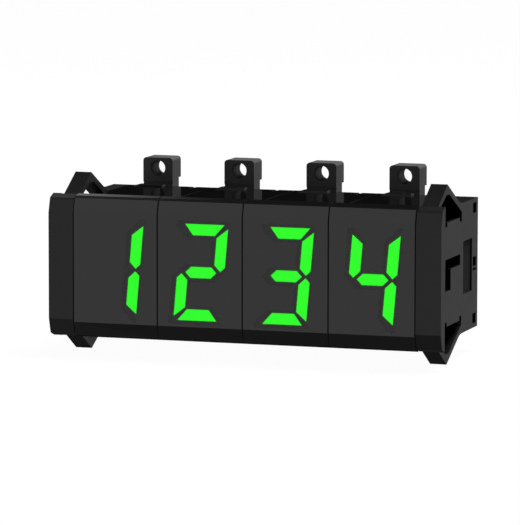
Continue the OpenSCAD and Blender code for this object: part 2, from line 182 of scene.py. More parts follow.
class Tree:
    """A thin wrapper that adds and joins the nodes of one node tree."""

    def __init__(self, tree: bpy.types.NodeTree) -> None:
        """Wraps and clears the node tree of a material, a world or a modifier."""
        self.tree = tree
        tree.nodes.clear()

    def add(
        self, kind: Kind, *inputs: object, output: str = "", **named: object
    ) -> Socket | None:
        """Adds a node with its settings and links.

        A socket as an input is linked, a "#rrggbb" is a colour, and a span stands for two
        inputs, its low and its high.

        Args:
            kind: What the node is.
            *inputs: What goes into the node's inputs, in their order.
            output: Name of the output to return.
            **named: More inputs by name, with spaces written as underscores.

        Returns:
            The output of that name, or else the node's first one, if it has any.
        """
        type_name, *setting = kind.value
        node = self.tree.nodes.new(type_name)
        if setting:
            setattr(node, *setting)
        live = [socket for socket in node.inputs if socket.enabled]
        places = {socket.name.lower().replace(" ", "_"): socket for socket in live}
        ends = [astuple(value) if isinstance(value, Span) else (value,) for value in inputs]
        pairs = [*zip(live, chain(*ends)), *((places[name], named[name]) for name in named)]
        for socket, value in pairs:
            if isinstance(value, Socket):
                self.tree.links.new(value, socket)
            else:
                socket.default_value = linear(value) if isinstance(value, str) else value
        outputs = (s for s in node.outputs if s.enabled and output in ("", s.name))
        return next(outputs, None)

    def rest(self, share: object) -> Socket:
        """Returns what a share leaves of 1."""
        return self.add(Kind.SUBTRACT, 1.0, share)

    def place(self) -> Socket:
        """Returns the point in the row frame, in metres."""
        return self.add(Kind.COORDINATES, output="Object")

    def along(self, axis: Axis) -> Socket:
        """Returns the point's place on an axis of the row frame, in metres."""
        return self.add(Kind.SPLIT, self.place(), output=axis.name)

    def blotches(self, pitch_mm: float, detail: float = 2.0) -> Socket:
        """Returns a value that wanders from 0 to 1 in blotches about pitch_mm apart."""
        scale = 1 / (pitch_mm * MM)
        return self.add(Kind.NOISE, vector=self.place(), scale=scale, detail=detail)

    def band(self, value: object, rise: Span, fall: Span) -> Socket:
        """Returns 1 between two soft edges, or else 0."""
        past = self.add(Kind.STEP, value, fall)
        return self.every(self.add(Kind.STEP, value, rise), self.rest(past))

    def inside(self, value: object, span: Span) -> Socket:
        """Returns 1 where a value lies within a span, or else 0."""
        off = self.add(Kind.ABSOLUTE, self.add(Kind.SUBTRACT, value, span.middle))
        return self.add(Kind.LESS, off, span.half)

    def on_plane(self, axis: Axis, at: float) -> Socket:
        """Returns 1 on the faces that lie at a place on an axis, or else 0."""
        return self.inside(self.along(axis), Span.about(at, SHEET))

    def every(self, *masks: object) -> Socket:
        """Joins masks.

        Args:
            *masks: Values from 0 to 1.

        Returns:
            Their product.
        """
        joint = masks[0]
        for mask in masks[1:]:
            joint = self.add(Kind.MULTIPLY, joint, mask)
        return joint


# ---- sizes read from the frame -------------------------------------------------------------


@dataclass(frozen=True)
class Row:
    """The modules' places along the row."""

    count: int
    pitch: float
    first: float

    @classmethod
    def read(cls) -> "Row":
        """Reads the row from the face caps of the frame.

        Returns:
            The modules' places.
        """
        caps = sorted(n for n in frame["nodes"] if n.startswith("face_cap_"))
        middles = [Span.of(n, Axis.X).middle for n in caps]
        return cls(len(caps), middles[1] - middles[0], middles[0])

    def module(self, index: int) -> Span:
        """Returns the stretch of the row that a module covers."""
        return Span.about(self.first + index * self.pitch, self.pitch / 2)

    def local_x(self, tree: Tree) -> Socket:
        """Finds how far a point lies from its own module's centre line.

        Args:
            tree: The tree of the material.

        Returns:
            The distance in metres, below 0 to the left.
        """
        past = tree.add(Kind.SUBTRACT, tree.along(Axis.X), self.module(0).low)
        turns = tree.add(Kind.FRACTION, tree.add(Kind.DIVIDE, past, self.pitch))
        return tree.add(Kind.MULTIPLY, tree.add(Kind.SUBTRACT, turns, 0.5), self.pitch)


class Run(Enum):
    """How a stroke lies in the eight."""

    BAR = "lying, at the top or bottom"
    POST = "upright, at a side"
    BRIDGE = "lying, across the middle"


class Stroke(Enum):
    """A stroke of the eight: its run, and its side to the right and upwards."""

    A = (Run.BAR, 0, 1)
    B = (Run.POST, 1, 1)
    C = (Run.POST, 1, -1)
    D = (Run.BAR, 0, -1)
    E = (Run.POST, -1, -1)
    F = (Run.POST, -1, 1)
    G = (Run.BRIDGE, 0, 0)


@dataclass(frozen=True)
class DigitPrint:
    """The dark ink behind the face caps' windows, thin over the strokes that shine through."""

    row: Row
    optics_x: Span
    optics_z: Span
    rear: float
    eight_z: Span
    digits: tuple[str, ...] = ("BC", "ABGED", "ABGCD", "FGBC")
    eight_x: float = -0.12 * MM
    half_width: float = 6.2 * MM
    stroke: float = 2.75 * MM
    slant: float = math.tan(math.radians(5.0))
    fade: Span = Span(0.55 * MM, 1.2 * MM)  # how far past a stroke the ink thickens

    @classmethod
    def read(cls, row: Row) -> "DigitPrint":
        """Reads the places of the window and the eight.

        Args:
            row: The modules' places.

        Returns:
            The print of the row's windows.
        """
        block = "digit_reflector_1"
        return cls(
            row,
            Span.of(block, Axis.X).moved(-row.first),
            Span.of(block, Axis.Z),
            Span.of(block, Axis.Y).low - FIT_GAP,
            Span.of("lit_segments_3", Axis.Z),
        )

    def window(self, tree: Tree) -> Socket:
        """Masks the window that lies over the optics.

        Args:
            tree: The tree of the acrylic's material.

        Returns:
            1 within the window, or else 0.
        """
        return tree.every(
            tree.inside(self.row.local_x(tree), self.optics_x),
            tree.inside(tree.along(Axis.Z), self.optics_z),
        )

    def thin(self, tree: Tree, *past: Socket) -> Socket:
        """Returns how thin the ink is.

        Args:
            tree: The tree of the acrylic's material.
            *past: Distances past each edge of a stroke, below 0 within it.

        Returns:
            1 over the stroke and close round it, falling to 0 where the fade ends.
        """
        farthest = past[0]
        for distance in past[1:]:
            farthest = tree.add(Kind.MAXIMUM, farthest, distance)
        return tree.rest(tree.add(Kind.STEP, farthest, self.fade))

    def runs(self, tree: Tree, off: Socket, up: Socket) -> dict[Run, Socket]:
        """Returns the thin places of the mitred strokes, the same on every side.

        Args:
            tree: The tree of the acrylic's material.
            off: Distance from the eight's slanted middle line.
            up: Distance above or below the eight's middle.

        Returns:
            A mask for the bars at the top and bottom, the four posts and the bridge.
        """
        half, diagonal = self.stroke / 2, math.sqrt(0.5)
        out = tree.add(Kind.SUBTRACT, off, self.half_width - half)
        over = tree.add(Kind.SUBTRACT, up, self.eight_z.half - half)
        aside = tree.add(Kind.ABSOLUTE, out)
        mitre = tree.add(Kind.MULTIPLY, tree.add(Kind.SUBTRACT, out, over), diagonal)
        back = tree.add(Kind.MULTIPLY, mitre, -1.0)
        foot = tree.add(Kind.MULTIPLY, tree.add(Kind.SUBTRACT, aside, up), diagonal)
        peak = tree.add(Kind.MULTIPLY, tree.add(Kind.ADD, out, up), diagonal)
        bar_edge = tree.add(Kind.SUBTRACT, tree.add(Kind.ABSOLUTE, over), half)
        post_edge = tree.add(Kind.SUBTRACT, aside, half)
        bar_end = tree.add(Kind.SUBTRACT, off, self.half_width)
        post_end = tree.add(Kind.SUBTRACT, up, self.eight_z.half)
        return {
            Run.BAR: self.thin(tree, bar_edge, mitre, bar_end),
            Run.POST: self.thin(tree, post_edge, back, foot, post_end),
            Run.BRIDGE: self.thin(tree, tree.add(Kind.SUBTRACT, up, half), peak),
        }

    def openings(self, tree: Tree) -> Socket:
        """Masks the lit strokes of each module's digit.

        Args:
            tree: The tree of the acrylic's material.

        Returns:
            1 over the strokes, or else 0.
        """
        z = tree.add(Kind.SUBTRACT, tree.along(Axis.Z), self.eight_z.middle)
        lean = tree.add(Kind.MULTIPLY, z, self.slant)
        upright_x = tree.add(Kind.SUBTRACT, self.row.local_x(tree), lean)
        x = tree.add(Kind.SUBTRACT, upright_x, self.eight_x)
        runs = self.runs(tree, tree.add(Kind.ABSOLUTE, x), tree.add(Kind.ABSOLUTE, z))
        halves = {
            (axis, side): tree.add(test, place, 0.0)
            for axis, place in ((Axis.X, x), (Axis.Z, z))
            for side, test in ((1, Kind.GREATER), (-1, Kind.LESS))
        }
        whole: Socket | float = 0.0
        for index, lit in enumerate(self.digits):
            module = tree.inside(tree.along(Axis.X), self.row.module(index))
            digit: Socket | float = 0.0
            for run, right, above in (Stroke[letter].value for letter in lit):
                sides = ((Axis.X, right), (Axis.Z, above))
                masks = [halves[side] for side in sides if side in halves]
                digit = tree.add(Kind.MAXIMUM, digit, tree.every(runs[run], *masks))
            whole = tree.add(Kind.MAXIMUM, whole, tree.every(module, digit))
        return whole

    def opacity(self, tree: Tree, cover: float) -> Socket:
        """Returns the acrylic's alpha.

        Args:
            tree: The tree of the acrylic's material.
            cover: Alpha of the smoked face where no ink lies behind it.

        Returns:
            The cover over the lit strokes, 0 on the window's rear, and else 1.
        """
        rear = tree.every(tree.on_plane(Axis.Y, self.rear), self.window(tree))
        face = tree.add(Kind.MIX, self.openings(tree), 1.0, cover)
        return tree.every(face, tree.rest(rear))


# ---- finishes ------------------------------------------------------------------------------


@dataclass(frozen=True)
class Finish:
    """What a surface is made of. Each subclass builds its own node tree."""

    name: str

    def material(self) -> bpy.types.Material:
        """Builds the material, unless it is already built.

        Returns:
            The material of that name.
        """
        made = bpy.data.materials.get(self.name)
        if made is None:
            made = bpy.data.materials.new(self.name)
            made.use_nodes = True
            tree = Tree(made.node_tree)
            tree.add(Kind.SURFACE, self.surface(tree))
        return made

    def surface(self, tree: Tree) -> Socket:
        """Builds the shader in a tree and returns its socket."""
        raise NotImplementedError


@dataclass(frozen=True)
class MouldedPlastic(Finish):
    """Black ABS from a steel mould: faint flow marks and a fine spark-eroded grain."""

    colour: str
    flow_colour: str
    roughness: float
    specular: float = 0.4
    flow_mm: float = 9.0
    rub_mm: float = 3.5
    rub: float = 0.04
    grain_mm: float = 0.35
    grain_depth_mm: float = 0.0006

    def skin(self, tree: Tree) -> Socket:
        """Returns the colour with its flow marks."""
        flow = tree.blotches(self.flow_mm, 3.0)
        return tree.add(Kind.BLEND, flow, self.colour, self.flow_colour)

    def sheen(self, tree: Tree) -> Socket:
        """Returns the roughness, a little uneven where handling has rubbed the surface."""
        rubbed = tree.blotches(self.rub_mm, 4.0)
        return tree.add(Kind.MIX, rubbed, Span.about(self.roughness, self.rub))

    def grain(self, tree: Tree) -> Socket:
        """Returns the height of the grain, in millimetres."""
        return tree.add(Kind.MULTIPLY, tree.blotches(self.grain_mm), self.grain_depth_mm)

    def surface(self, tree: Tree) -> Socket:
        """Builds the shader of the moulded plastic.

        Args:
            tree: The tree of the material.

        Returns:
            The shader's socket.
        """
        return tree.add(
            Kind.PRINCIPLED,
            base_color=self.skin(tree),
            roughness=self.sheen(tree),
            specular_ior_level=self.specular,
            normal=tree.add(Kind.BUMP, height=self.grain(tree), distance=MM),
        )


@dataclass(frozen=True)
class PlatePlastic(MouldedPlastic):
    """Black ABS of an end plate, coarse and dull at the bottom of its bare label recess."""

    recess: tuple[Span, ...] = ()
    recess_colour: str = "#0a0a0b"
    recess_roughness: float = 0.85
    recess_grain_mm: float = 0.5
    recess_depth_mm: float = 0.02

    def surface(self, tree: Tree) -> Socket:
        """Builds the shader of the end plate's plastic.

        Args:
            tree: The tree of the material.

        Returns:
            The shader's socket.
        """
        away = tree.add(Kind.ABSOLUTE, tree.along(Axis.X))
        places = (away, tree.along(Axis.Y), tree.along(Axis.Z))
        masks = [tree.inside(place, span) for place, span in zip(places, self.recess)]
        recess = tree.every(*masks)
        pits = tree.blotches(self.recess_grain_mm, 4.0)
        coarse = tree.add(Kind.MULTIPLY, pits, self.recess_depth_mm)
        height = tree.add(Kind.MIX, recess, self.grain(tree), coarse)
        return tree.add(
            Kind.PRINCIPLED,
            base_color=tree.add(Kind.BLEND, recess, self.skin(tree), self.recess_colour),
            roughness=tree.add(Kind.MIX, recess, self.sheen(tree), self.recess_roughness),
            specular_ior_level=self.specular,
            normal=tree.add(Kind.BUMP, height=height, distance=MM),
        )


@dataclass(frozen=True)
class CoverPlastic(MouldedPlastic):
    """Black ABS of a rear cover, polished at its flange and eroded matt behind it."""

    matt_from: float = 0.0
    polished_colour: str = "#000000"
    polished_roughness: float = 0.12

    def surface(self, tree: Tree) -> Socket:
        """Builds the shader of the rear cover's plastic.

        Args:
            tree: The tree of the material.

        Returns:
            The shader's socket.
        """
        matt = tree.add(Kind.GREATER, tree.along(Axis.Y), self.matt_from)
        return tree.add(
            Kind.PRINCIPLED,
            base_color=tree.add(Kind.BLEND, matt, self.polished_colour, self.skin(tree)),
            roughness=tree.add(Kind.MIX, matt, self.polished_roughness, self.sheen(tree)),
            specular_ior_level=self.specular,
            normal=tree.add(Kind.BUMP, height=self.grain(tree), distance=MM),
        )


@dataclass(frozen=True)
class SmokedWindow(Finish):
    """Smoked acrylic with sawn matt sides, inked black except over the lit strokes."""

    ink: DigitPrint
    side: float
    colour: str = "#020202"
    cover: float = 0.8
    roughness: float = 0.1
    specular: float = 0.5
    sawn: float = 0.09 * MM
    sawn_roughness: float = 1.0
    cloud_mm: float = 14.0
    cloud: float = 0.02

    def surface(self, tree: Tree) -> Socket:
        """Builds the shader of the smoked acrylic.

        Args:
            tree: The tree of the material.

        Returns:
            The shader's socket.
        """
        clouds = tree.blotches(self.cloud_mm)
        front = tree.add(Kind.MIX, clouds, Span.about(self.roughness, self.cloud))
        aside = tree.add(Kind.ABSOLUTE, self.ink.row.local_x(tree))
        sawn = tree.add(Kind.GREATER, aside, self.side - self.sawn)
        return tree.add(
            Kind.PRINCIPLED,
            base_color=self.colour,
            roughness=tree.add(Kind.MIX, sawn, front, self.sawn_roughness),
            specular_ior_level=self.specular,
            alpha=self.ink.opacity(tree, self.cover),
        )


@dataclass(frozen=True)
class LitResin(Finish):
    """Diffuser resin lit from behind, a touch uneven where its filler clouds it."""

    colour: str
    glow: float
    resin: str = "#0a1409"
    cloud_mm: float = 2.0
    cloud: float = 0.02

    def surface(self, tree: Tree) -> Socket:
        """Builds the shader of the lit resin.

        Args:
            tree: The tree of the material.

        Returns:
            The shader's socket.
        """
        glow = Span.about(self.glow, self.glow * self.cloud)
        return tree.add(
            Kind.PRINCIPLED,
            base_color=self.resin,
            roughness=0.5,
            specular_ior_level=0.0,
            emission_color=self.colour,
            emission_strength=tree.add(Kind.MIX, tree.blotches(self.cloud_mm), glow),
        )


@dataclass(frozen=True)
class InkedBlock(Finish):
    """White reflector block whose front face is printed grey, with white light wells."""

    front: float
    ink: str = "#6c6c6c"
    white: str = "#e4e4de"
    shaded_white: str = "#cfcfca"
    shade_mm: float = 6.0

    def surface(self, tree: Tree) -> Socket:
        """Builds the shader of the printed block.

        Args:
            tree: The tree of the material.

        Returns:
            The shader's socket.
        """
        printed = tree.on_plane(Axis.Y, self.front)
        shade = tree.add(Kind.MIX, tree.blotches(self.shade_mm, 3.0), 0.94, 1.0)
        chalk = tree.add(Kind.BLEND, shade, self.shaded_white, self.white)
        return tree.add(
            Kind.PRINCIPLED,
            base_color=tree.add(Kind.BLEND, printed, chalk, self.ink),
            roughness=tree.add(Kind.MIX, printed, 0.45, 0.6),
            specular_ior_level=0.35,
        )


@dataclass(frozen=True)
class CircuitBoard(Finish):
    """Glass epoxy board: green solder mask over copper tracks, sand-coloured sawn edges."""

    through: Axis
    across: Axis
    mask: str = "#0c3a1e"
    track: str = "#1c5a34"
    edge: str = "#a8935a"
    fibre: str = "#8f7f50"
    fibre_mm: float = 0.4
    track_pitch_mm: float = 1.27
    track_part: Span = Span(0.3, 0.62)
    track_mm: float = 0.03
    bend_mm: float = 2.2
    bend_pitch_mm: float = 6.0

    def surface(self, tree: Tree) -> Socket:
        """Builds the shader of the board.

        Args:
            tree: The tree of the material.

        Returns:
            The shader's socket.
        """
        bends = tree.add(Kind.MULTIPLY, tree.blotches(self.bend_pitch_mm, 0.0), self.bend_mm * MM)
        run = tree.add(Kind.ADD, tree.along(self.across), bends)
        turns = tree.add(Kind.FRACTION, tree.add(Kind.DIVIDE, run, self.track_pitch_mm * MM))
        copper = tree.inside(turns, self.track_part)
        facing = tree.add(Kind.COORDINATES, output="Normal")
        flat = tree.add(Kind.SPLIT, facing, output=self.through.name)
        face = tree.add(Kind.GREATER, tree.add(Kind.ABSOLUTE, flat), 0.5)
        sawn = tree.add(Kind.BLEND, tree.blotches(self.fibre_mm), self.edge, self.fibre)
        skin = tree.add(Kind.BLEND, copper, self.mask, self.track)
        raised = tree.every(copper, face)
        return tree.add(
            Kind.PRINCIPLED,
            base_color=tree.add(Kind.BLEND, face, sawn, skin),
            roughness=tree.add(Kind.MIX, face, 0.8, 0.28),
            specular_ior_level=0.5,
            normal=tree.add(Kind.BUMP, height=raised, distance=self.track_mm * MM),
        )


@dataclass(frozen=True)
class LeadedBody(Finish):
    """A component whose moulded or lacquered body stands on bright metal leads."""

    body: str
    body_shade: str
    metal: str
    lift: Span
    depth: Span
    row: Row
    body_roughness: float = 0.5
    shade_mm: float = 0.6
    dull_mm: float = 1.5
    grain_mm: float = 0.3
    grain_depth_mm: float = 0.003

    def surface(self, tree: Tree) -> Socket:
        """Builds the shader of the component.

        Args:
            tree: The tree of the material.

        Returns:
            The shader's socket.
        """
        body = tree.every(
            tree.inside(self.row.local_x(tree), self.lift),
            tree.inside(tree.along(Axis.Y), self.depth),
        )
        skin = tree.add(Kind.BLEND, tree.blotches(self.shade_mm, 3.0), self.body, self.body_shade)
        dull = tree.add(Kind.MIX, tree.blotches(self.dull_mm), 0.22, 0.34)
        grain = tree.blotches(self.grain_mm)
        return tree.add(
            Kind.PRINCIPLED,
            base_color=tree.add(Kind.BLEND, body, self.metal, skin),
            metallic=tree.rest(body),
            roughness=tree.add(Kind.MIX, body, dull, self.body_roughness),
            normal=tree.add(Kind.BUMP, height=grain, distance=self.grain_depth_mm * MM),
        )


@dataclass(frozen=True)
class BrightMetal(Finish):
    """Plated spring strip or solder: bright metal with a slightly clouded sheen."""

    colour: str
    tarnish: str
    roughness: float = 0.3
    cloud_mm: float = 0.8

    def surface(self, tree: Tree) -> Socket:
        """Builds the shader of the metal.

        Args:
            tree: The tree of the material.

        Returns:
            The shader's socket.
        """
        clouds = tree.blotches(self.cloud_mm, 3.0)
        return tree.add(
            Kind.PRINCIPLED,
            base_color=tree.add(Kind.BLEND, clouds, self.colour, self.tarnish),
            metallic=1.0,
            roughness=tree.add(Kind.MIX, clouds, self.roughness - 0.05, self.roughness + 0.1),
        )


@dataclass(frozen=True)
class DieResin(Finish):
    """Clear yellowish LED resin, paler in soft clouds."""

    resin: str
    cup: str
    cloud_mm: float = 0.5

    def surface(self, tree: Tree) -> Socket:
        """Builds the shader of the LED.

        Args:
            tree: The tree of the material.

        Returns:
            The shader's socket.
        """
        clouds = tree.blotches(self.cloud_mm)
        return tree.add(
            Kind.PRINCIPLED,
            base_color=tree.add(Kind.BLEND, clouds, self.resin, self.cup),
            roughness=tree.add(Kind.MIX, clouds, 0.15, 0.3),
            specular_ior_level=0.5,
        )


class Slot(Enum):
    """The record's material slots."""

    PLATE = "black_plate"
    HOUSING = "black_housing"
    COVER = "black_cover"
    FACE = "smoked_face"
    LIT = "lit_lens"
    UNLIT = "dark_lens"
    BLOCK = "white_block"
    LED = "led_body"
    BOARD = "circuit_board"
    PIN = "pin_metal"
    CHIP = "chip_body"
    RESISTOR = "resistor_body"
    SOCKET = "socket_body"


@dataclass
class Wardrobe:
    """Chooses the finish of each node."""

    row: Row
    gold: str = "#d9a640"
    tin: str = "#b9bcc0"
    recess_bottom: Span = Span(2.6 * MM, 2.95 * MM)  # inwards from the end plate's side
    recess_y: Span = Span(25.3 * MM, 33.6 * MM)
    recess_z: Span = Span(-6.75 * MM, 6.65 * MM)
    flange: float = 2.5 * MM
    body_stand: float = 0.5 * MM
    chip_leads: float = 0.65 * MM
    slack: float = 0.01 * MM

    def plate(self) -> Finish:
        """Chooses the end plates' plastic.

        Returns:
            The plastic, with the label recess where the CAD has it.
        """
        side = Span.of("right_end_plate", Axis.X).high
        recess_x = Span(side - self.recess_bottom.high, side - self.recess_bottom.low)
        return PlatePlastic(
            "Black ABS, end plate",
            colour="#030303",
            flow_colour="#050505",
            roughness=0.3,
            specular=0.3,
            recess=(recess_x, self.recess_y, self.recess_z),
        )

    def cover(self) -> Finish:
        """Chooses the rear covers' plastic.

        Returns:
            The plastic, matt behind the flange.
        """
        return CoverPlastic(
            "Black ABS, rear cover",
            colour="#1a1a1b",
            flow_colour="#1d1d1e",
            roughness=0.45,
            specular=0.27,
            matt_from=Span.of("housing_1", Axis.Y).high + self.flange,
        )

    def window(self) -> Finish:
        """Returns the face caps' acrylic, clear only over the lit strokes behind it."""
        side = Span.of("face_cap_1", Axis.X).half
        return SmokedWindow("Smoked acrylic", DigitPrint.read(self.row), side)

    def board(self, node: str) -> Finish:
        """Chooses a board's finish.

        Args:
            node: The name of a display board or a control board.

        Returns:
            The finish, with its tracks across the board.
        """
        if node.startswith("display"):
            return CircuitBoard("Display board", through=Axis.Y, across=Axis.X)
        return CircuitBoard("Control board", through=Axis.X, across=Axis.Z)

    def leaded(self, node: str, name: str, body: str, shade: str, metal: str) -> Finish:
        """Returns the finish of a component on leads.

        Args:
            node: The CAD node of the first module's component.
            name: The finish's name.
            body: Colour of its body.
            shade: Second colour of its body.
            metal: Colour of its leads.

        Returns:
            The finish, split where the body ends and the leads begin.
        """
        lift, depth = Span.of(node, Axis.X), Span.of(node, Axis.Y)
        if node.startswith("pin_header"):
            depth = Span(depth.high - GRID, depth.high)
        else:
            lift = Span(lift.low + self.body_stand, lift.high)
        if node.startswith("driver_chip"):
            depth = depth.within(self.chip_leads)
        lift, depth = lift.within(-self.slack), depth.within(-self.slack)
        return LeadedBody(name, body, shade, metal, lift.moved(-self.row.first), depth, self.row)

    def finish(self, node: str, slot: Slot) -> Finish:
        """Returns the finish of a node.

        Args:
            node: The node's name.
            slot: Its material slot in the record.

        Returns:
            The finish that the node wears.
        """
        match slot:
            case Slot.PLATE:
                return self.plate()
            case Slot.COVER:
                return self.cover()
            case Slot.FACE:
                return self.window()
            case Slot.BOARD:
                return self.board(node)
            case Slot.HOUSING:
                return MouldedPlastic(
                    "Black ABS, housing", "#000000", "#010101", roughness=0.1, specular=0.35
                )
            case Slot.BLOCK:
                front = Span.of("digit_reflector_1", Axis.Y).low
                return InkedBlock("Printed reflector block", front)
            case Slot.LIT:
                return LitResin("Lit green resin", "#10ff00", glow=4.75)
            case Slot.UNLIT:
                return MouldedPlastic(
                    "Unlit resin", "#6c6c6c", "#6e6e6e", roughness=0.6, specular=0.1
                )
            case Slot.LED:
                return DieResin("LED resin", "#c8b860", "#e6dca0")
            case Slot.PIN:
                return self.leaded("pin_header_1", "Header", "#141415", "#18181a", self.gold)
            case Slot.CHIP:
                return self.leaded("driver_chip_1", "Chip", "#19191b", "#1f1f22", self.tin)
            case Slot.RESISTOR:
                node = "resistor_network_1"
                return self.leaded(node, "Network", "#1b3a76", "#21468c", self.tin)
            case Slot.SOCKET:
                return MouldedPlastic("Socket nylon", "#161617", "#1a1a1b", roughness=0.45)


# ---- the display ---------------------------------------------------------------------------


@dataclass
class FrameDresser:
    """Rounds and dresses the nodes that the frame carries over."""

    wardrobe: Wardrobe
    edge_mm: dict[str, float] = field(
        default_factory=lambda: {
            "end_plate": 0.12,
            "face_cap": 0.2,
            "housing": 0.12,
            "rear_cover": 0.15,
        }
    )
    weld: float = 0.001 * MM
    sharp_from: float = math.radians(30)

    def soften(self, node: bpy.types.Object, edge_mm: float) -> None:
        """Rounds a moulding's sharp edges, as its mould does.

        Args:
            node: The moulding.
            edge_mm: Width of the rounded edge.
        """
        weld = node.modifiers.new("weld", "WELD")
        weld.merge_threshold = self.weld
        bevel = node.modifiers.new("edge", "BEVEL")
        bevel.width = edge_mm * MM
        bevel.segments = 2
        bevel.limit_method = "ANGLE"
        bevel.angle_limit = self.sharp_from
        bevel.use_clamp_overlap = True
        bevel.harden_normals = True

    def dress(self) -> None:
        """Gives every node the finish of its material slot and rounds the mouldings."""
        for entry in frame["record"]["subparts"]:
            node = frame["nodes"][entry["node"]]
            finish = self.wardrobe.finish(node.name, Slot(entry["material_slot"]))
            node.data.materials.clear()
            node.data.materials.append(finish.material())
            for word, edge_mm in self.edge_mm.items():
                if word in node.name:
                    self.soften(node, edge_mm)
            log.info("dressed %s in %s", node.name, finish.name)


class Pattern:
    """A geometry node tree with named inputs, which repeats a shape along the row."""

    kinds = {int: "NodeSocketInt", float: "NodeSocketFloat"}

    def __init__(self, name: str, row: Row, **inputs: float) -> None:
        """Starts the tree.

        Args:
            name: The piece's name.
            row: The modules' places, which become two of the tree's inputs.
            **inputs: The tree's other inputs by name, with spaces as underscores.
        """
        self.name = name
        self.group = bpy.data.node_groups.new(name, "GeometryNodeTree")
        self.values: dict[str, float] = {}
        ports = self.group.interface
        for side in ("INPUT", "OUTPUT"):
            ports.new_socket("Geometry", in_out=side, socket_type="NodeSocketGeometry")
        for word, value in {"modules": row.count, "module_pitch": row.pitch, **inputs}.items():
            label = word.replace("_", " ").capitalize()
            port = ports.new_socket(label, in_out="INPUT", socket_type=self.kinds[type(value)])
            self.values[port.identifier] = value
        self.tree = Tree(self.group)

    def given(self, label: str) -> Socket:
        """Returns the tree's input of that name."""
        return self.tree.add(Kind.GIVEN, output=label)

    def piece(
        self, seed: bpy.types.Mesh, shape: Socket, finish: Finish, slot: Slot
    ) -> bpy.types.Object:
        """Repeats a shape at every module and makes the result one plain mesh.

        Args:
            seed: The mesh that enters the tree.
            shape: The geometry of one module.
            finish: What the piece is made of.
            slot: The material slot of the piece's finish, not used.

        Returns:
            The finished piece.
        """
        tree = self.tree
        offset = tree.add(Kind.JOIN, self.given("Module pitch"))
        line = tree.add(Kind.LINE, self.given("Modules"), offset=offset)
        real = tree.add(Kind.REALIZE, tree.add(Kind.REPEAT, line, instance=shape))
        dressed = tree.add(Kind.DRESS, real, material=finish.material())
        tree.add(Kind.RESULT, dressed)
        piece = bpy.data.objects.new(self.name, seed)
        bpy.context.collection.objects.link(piece)
        modifier = piece.modifiers.new(self.name, "NODES")
        modifier.node_group = self.group
        for identifier, value in self.values.items():
            modifier[identifier] = value
        graph = bpy.context.evaluated_depsgraph_get()
        mesh = bpy.data.meshes.new_from_object(piece.evaluated_get(graph))
        piece.modifiers.clear()
        piece.data = mesh
        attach(piece, "root")
        log.info("built %s: %d faces", self.name, len(mesh.polygons))
        return piece


@dataclass
class SocketContacts:
    """Gold plated forks that stand in the holes of the rear sockets."""

    row: Row
    columns: int = 8
    rows: int = 2
    half_width: float = 0.32 * MM
    strip: float = 0.12 * MM
    bow_mm: tuple[tuple[float, float], ...] = (  # depth from the mouth, and half the opening
        (4.95, 0.42),
        (3.4, 0.41),
        (2.2, 0.31),
        (1.2, 0.23),
        (0.7, 0.27),
        (0.2, 0.41),
    )

    def fork(self, mouth: Vector) -> bpy.types.Mesh:
        """Builds one contact: two strips bowed towards each other.

        Args:
            mouth: The middle of the first module's socket, on its rear face.

        Returns:
            A mesh whose two strips are closed shells.
        """
        mesh = bpy.data.meshes.new("contact")
        points: list[Vector] = []
        faces: list[tuple[int, ...]] = []
        ring = [(0, 1), (1, 2), (2, 3), (3, 0)]
        last = (len(self.bow_mm) - 1) * len(ring)
        for side in (-1, 1):
            base = len(points)
            for depth_mm, out_mm in self.bow_mm:
                out, y = out_mm * MM, mouth.y - depth_mm * MM
                for x, z in ((out, -1), (out, 1), (out - self.strip, 1), (out - self.strip, -1)):
                    points.append(Vector((mouth.x + side * x, y, mouth.z + z * self.half_width)))
            shell = [(3, 2, 1, 0)]
            for near in range(0, last, len(ring)):
                far = near + len(ring)
                shell += [(near + a, near + b, far + b, far + a) for a, b in ring]
            shell.append((last, last + 1, last + 2, last + 3))
            if side > 0:
                shell = [face[::-1] for face in shell]
            faces += [tuple(base + corner for corner in face) for face in shell]
        mesh.from_pydata(points, [], faces)
        return mesh

    def build(self) -> bpy.types.Object:
        """Builds the contacts of every socket.

        Returns:
            One piece that holds them all.
        """
        x, y, z = (Span.of("rear_socket_1", axis) for axis in Axis)
        pattern = Pattern(
            "socket_contacts", self.row, grid=GRID, columns=self.columns, rows=self.rows
        )
        tree, grid = pattern.tree, pattern.given("Grid")
        rows, columns = pattern.given("Rows"), pattern.given("Columns")
        wide = tree.add(Kind.MULTIPLY, grid, tree.add(Kind.SUBTRACT, rows, 1.0))
        high = tree.add(Kind.MULTIPLY, grid, tree.add(Kind.SUBTRACT, columns, 1.0))
        holes = tree.add(Kind.LATTICE, wide, high, rows, columns)
        upright = tree.add(Kind.TURN, holes, rotation=(QUARTER_TURN, 0.0, 0.0))
        forks = tree.add(Kind.REPEAT, upright, instance=pattern.given("Geometry"))
        gold = BrightMetal("Gold plated spring strip", "#f0bf5a", "#d9a640")
        seed = self.fork(Vector((x.middle, y.high, z.middle)))
        return pattern.piece(seed, forks, gold, Slot.PIN)


